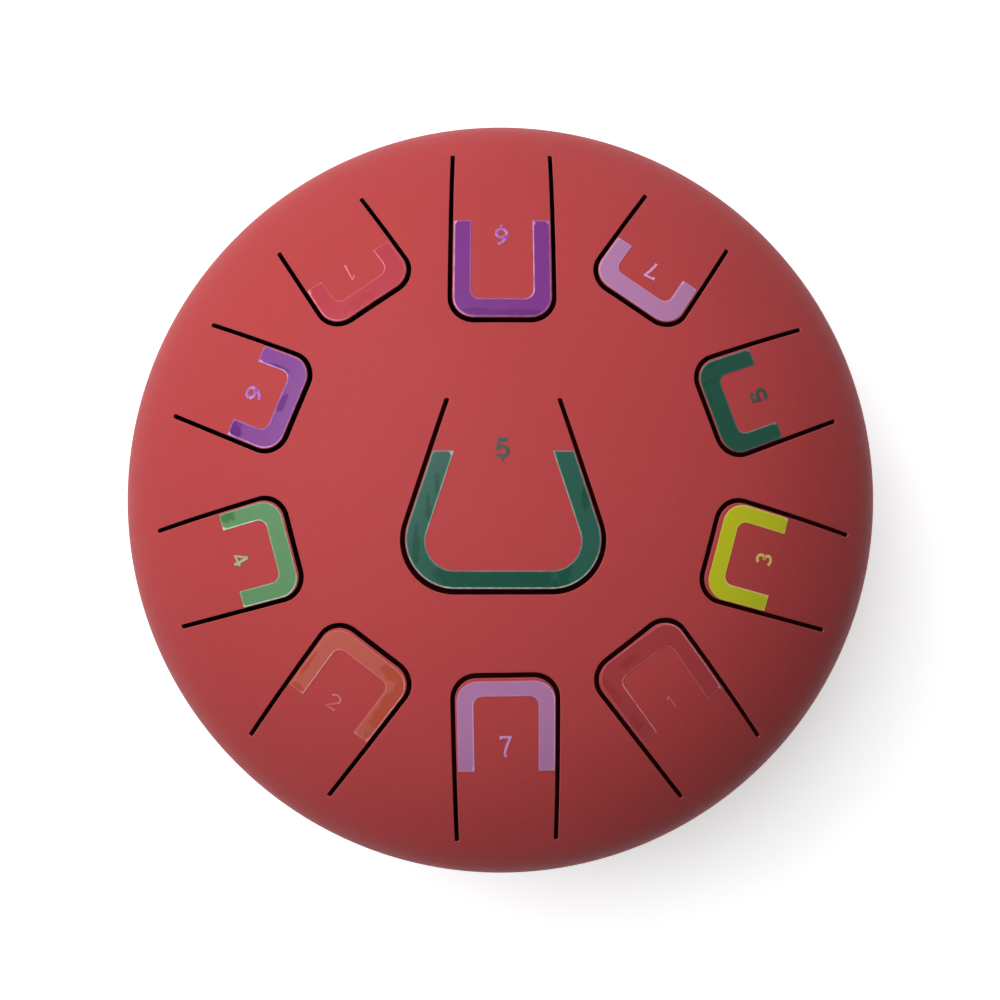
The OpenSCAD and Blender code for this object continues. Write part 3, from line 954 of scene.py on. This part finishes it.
# Strokes of the numbers in a box 3.6 wide and 6 high
GLYPHS = {
    "1": [[(0.95, 4.5), (1.95, 5.65), (1.95, 0)]],
    "2": [arc(1.8, 4.15, 1.4, 1.5, 170, -38) + [(0.42, 0.32), (3.35, 0.32)]],
    "3": [arc(1.7, 4.3, 1.3, 1.35, 150, -90) + arc(1.7, 1.62, 1.5, 1.33, 90, -150)[1:]],
    "4": [[(2.55, 0), (2.55, 5.6)], [(2.6, 5.75), (0.4, 1.6), (3.5, 1.6)]],
    "5": [[(3.15, 5.65), (0.95, 5.65), (0.62, 3.0)] + arc(1.75, 1.9, 1.5, 1.6, 135, -150)],
    "6": [arc(1.8, 1.8, 1.45, 1.5, 0, 352, 30), arc(3.2, 1.9, 2.85, 3.75, 178, 100)],
    "7": [[(0.35, 4.95), (0.35, 5.65), (3.3, 5.65), (2.3, 3.2), (1.75, 1.4), (1.5, 0)]],
}
GLYPH_W = 3.6
GLYPH_H = 6.0
STROKES = {"low_6": 0.9, "7": 0.72, "5": 1.1, "3": 0.8, "1": 0.5, "low_7": 0.72, "2": 0.56,
           "4": 0.75, "6": 0.9, "high_1": 0.6, "low_5": 1.05}
DOT_R = 0.42

# Each number: glyph, u and v of its middle, clockwise turn, width, height, octave dot and how
# far beneath
NUMBERS = {
    "low_6": ("6", 76.2, 0.1, 0, 1.08, 0.95, 0.75), "low_7": ("7", 75.7, -0.1, 0, 0.95, 0.97, 0.4),
    "3": ("3", 81.1, 0.35, 0, 0.93, 0.85, None), "high_1": ("1", 80.1, 0.9, 7, 1.05, 1.0, None),
    "1": ("1", 80.9, -0.3, 0, 0.9, 0.82, None), "2": ("2", 80.5, -0.6, -3, 1.08, 0.86, None),
    "5": ("5", 82.5, -0.2, 0, 1.15, 0.85, None), "7": ("7", 80.3, 0.2, -8, 0.95, 0.92, None),
    "6": ("6", 79.9, 0.2, 3, 1.1, 0.9, None), "4": ("4", 81.0, 0.2, -12, 1.05, 0.85, None),
    "low_5": ("5", 11.4, 0.3, 0, 1.1, 0.9, 0.75),
}
NUMBER_T = 0.1
NUMBER_EDGE = {"low_6": 0.5, "7": 0.3, "5": 0.12, "3": 0.35, "1": 0.5, "low_7": 0.25, "2": 0.4,
               "4": 0.3, "6": 0.5, "high_1": 0.6, "low_5": 0.08}


def ribbon(line, width):
    """The outline of a stroke along a line"""
    line = np.array(line, float)
    along = np.diff(line, axis=0)
    along /= np.linalg.norm(along, axis=1)[:, None]
    normals = np.column_stack([-along[:, 1], along[:, 0]])
    left = []
    for k in range(len(line)):
        pair = normals[max(k - 1, 0):k + 1]
        mean = pair.mean(0)
        left.append(mean / max(mean @ mean, 0.35))
    left = np.array(left) * width / 2
    return np.concatenate([line + left, (line - left)[::-1]])


def build_number(tongue):
    glyph, u, v, turn, wide, tall, dot = NUMBERS[tongue.name]
    middle = np.array([GLYPH_W / 2, GLYPH_H / 2])
    size = [wide, tall]
    shapes = [ribbon((line - middle) * size, STROKES[tongue.name]) for line in GLYPHS[glyph]]
    if dot is not None:
        shapes.append(circle(DOT_R, 20, (0, -middle[1] * tall - dot)))
    t = math.radians(turn)
    spin = np.array([[math.cos(t), -math.sin(t)], [math.sin(t), math.cos(t)]])
    up = -1 if tongue.flare == 0 else 1
    plan, loops = Plan(), []
    for shape in shapes:
        x, y = (shape @ spin).T
        loop = tongue.plan(np.column_stack([u + up * y, v - up * x]))
        loops.append(loop)
        plan.add(loop)
    xy, triangles = plan.triangulate()
    middles = xy[triangles].mean(1)
    keep = np.zeros(len(triangles), bool)
    for loop in loops:
        keep |= inside(middles, loop)
    piece = plate("number_" + tongue.name, xy, triangles[keep], STICKER_GAP,
                  STICKER_GAP + NUMBER_T, INK_EDGE)
    paint(piece.data, "wet", np.zeros(len(piece.data.vertices)))
    paint_line(piece, tongue, xy, triangles[keep], NUMBER_LINE, NUMBER_EDGE[tongue.name])
    finish_with(piece, number_films[tongue.name])
    bend(piece, tongue)


films = {name: vinyl("film_" + name, *colours) for name, colours in INKS.items()}
NUMBER_INKS = {
    "low_6": ("deep_purple", srgb(150, 70, 160)), "low_7": ("lilac", srgb(206, 142, 196)),
    "3": ("yellow", srgb(222, 190, 96)), "high_1": ("crimson", srgb(204, 92, 102)),
    "1": ("crimson", srgb(178, 72, 82)), "2": ("orange", srgb(194, 92, 94)),
    "5": ("bottle", srgb(52, 62, 56)), "7": ("lilac", srgb(214, 150, 200)),
    "6": ("purple", srgb(150, 74, 166)), "4": ("green", srgb(146, 160, 122)),
    "low_5": ("bottle", srgb(64, 76, 66)),
}
number_films = {name: vinyl("ink_" + name, colour, colour, INKS[family][2])
                for name, (family, colour) in NUMBER_INKS.items()}


# ---------------------------------------------------------------- camera, light and floor

CAMERA_AT = (-3.646, -16.296, 472.708)
CAMERA_TURN = (0.0382511, -0.0082506, 0.0)
LENS = 41.7

WHITE = (1, 1, 1, 1)
WORLD_COLOUR = (1.0, 0.98, 0.97, 1)
WORLD_LIGHT = 0.03
FLOOR_DARK = (0.80, 0.80, 0.80, 1)
FLOOR_PALE = (0.82, 0.82, 0.82, 1)

# How white the floor shows, and between which distances from the drum it rises to full white
FLOOR_GLOW = 0.58
FLOOR_FADE = (0.26, 0.9)
# Under the drum the glow is cut down to a painted contact shadow, so the floor that the sound hole
# shows through the slots stays dark
UNDER_SHADE_GLOW = 0.03
UNDER_SHADE_FADE = (0.05, 0.115)

# Name, azimuth, elevation, power and colour of each soft light, most of them to the upper left
LIGHTS = (
    ("left_high", 150, 60, 23.6, (1.0, 0.99, 1.03)), ("back", 110, 45, 3.4, (1.0, 0.97, 1.05)),
    ("back_right", 70, 45, 1.8, (1.0, 1.0, 0.97)),
)
LIGHT_AWAY = 1.6
LIGHT_SIZE = 1.0


def build_camera():
    data = bpy.data.cameras.new("camera")
    data.lens = LENS
    data.clip_start = 0.01
    camera = bpy.data.objects.new("camera", data)
    camera.location = Vector(CAMERA_AT) * MM
    camera.rotation_euler = CAMERA_TURN
    bpy.context.scene.collection.objects.link(camera)
    bpy.context.scene.camera = camera


def area_light(name, azimuth, elevation, power, colour):
    """A square soft light that looks at the middle of the drum"""
    data = bpy.data.lights.new(name, "AREA")
    data.shape = "SQUARE"
    data.size = LIGHT_SIZE
    data.energy = power
    data.color = colour
    light = bpy.data.objects.new(name, data)
    a, e = math.radians(azimuth), math.radians(elevation)
    at = Vector((math.cos(a) * math.cos(e), math.sin(a) * math.cos(e), math.sin(e)))
    light.location = at * LIGHT_AWAY + Vector((0, 0, SEAM_Z * MM))
    light.rotation_euler = at.to_track_quat("Z", "Y").to_euler()
    bpy.context.scene.collection.objects.link(light)


def build_stage():
    world = bpy.data.worlds.new("studio")
    bpy.context.scene.world = world
    s = Shader(world)
    around = s.add("Background", {"Color": WORLD_COLOUR, "Strength": WORLD_LIGHT})
    white = s.add("Background", {"Color": WHITE, "Strength": 1.0})
    s.surface(s.add("MixShader", {0: s.seen(), 1: around.outputs[0], 2: white.outputs[0]}),
              "OutputWorld")

    s = Shader(bpy.data.materials.new("floor_white"))
    grain = s.mix(s.range(s.noise(40, 3), 0.3, 0.7), FLOOR_DARK, FLOOR_PALE)
    diffuse = s.add("BsdfDiffuse", {"Color": grain})
    away = s.add("VectorMath", {0: s.add("TexCoord").outputs["Object"]}, operation="LENGTH")
    away = away.outputs["Value"]
    # The second factor paints a contact shadow on the floor under the drum
    strength = s.math("MULTIPLY", s.range(away, *FLOOR_FADE, FLOOR_GLOW, 1.0),
                      s.range(away, *UNDER_SHADE_FADE, UNDER_SHADE_GLOW, 1.0))
    strength = s.math("MULTIPLY", s.seen(), strength)
    glow = s.add("Emission", {"Color": WHITE, "Strength": strength})
    s.surface(s.add("AddShader", {0: diffuse.outputs[0], 1: glow.outputs[0]}))
    floor = lathe("floor", [(r, 0) for r in (8000, 3000, 1200, 500, 200, 0)], 96, closed=False)
    floor.data.materials.append(s.owner)


build_camera()
build_stage()
for light in LIGHTS:
    area_light(*light)

build_upper()
build_lower()
build_weld()
build_feet()
for tongue in TONGUES:
    build_sticker(tongue)
    build_number(tongue)

scene = bpy.context.scene
scene.view_settings.view_transform = "Standard"
